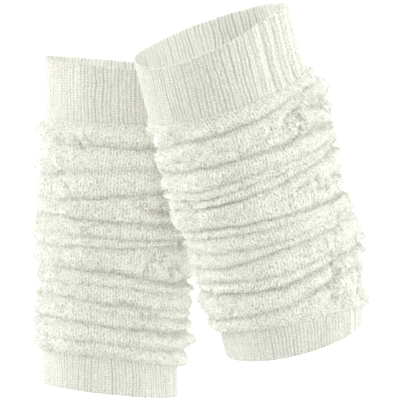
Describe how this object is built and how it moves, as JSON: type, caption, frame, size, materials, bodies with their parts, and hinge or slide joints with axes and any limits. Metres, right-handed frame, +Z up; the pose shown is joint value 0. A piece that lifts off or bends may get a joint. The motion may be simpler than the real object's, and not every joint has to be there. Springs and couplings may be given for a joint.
{
  "type": "pair of leg warmers",
  "caption": "Pair of hollow slouched leg warmers: long ribbed top band, loopy terry body pushed down into soft folds, short ribbed bottom cuff.",
  "frame": {"origin": "centre of the front leg warmer's ribbed top band, on its tube's axis, where the leg holds it", "axes": "+Z up, the front faces -Y, +X to the viewer's right"},
  "size_m": [0.2323, 0.2184, 0.2836],
  "materials": {
    "rib_knit": "matt two-by-two rib knit, wool white",
    "terry_knit": "matt loopy terry knit, wool white"
  },
  "bodies": {
    "root": {"front_top_band": "rib_knit", "front_body": "terry_knit", "front_bottom_cuff": "rib_knit", "rear_top_band": "rib_knit", "rear_body": "terry_knit", "rear_bottom_cuff": "rib_knit"}
  },
  "joints": []
}
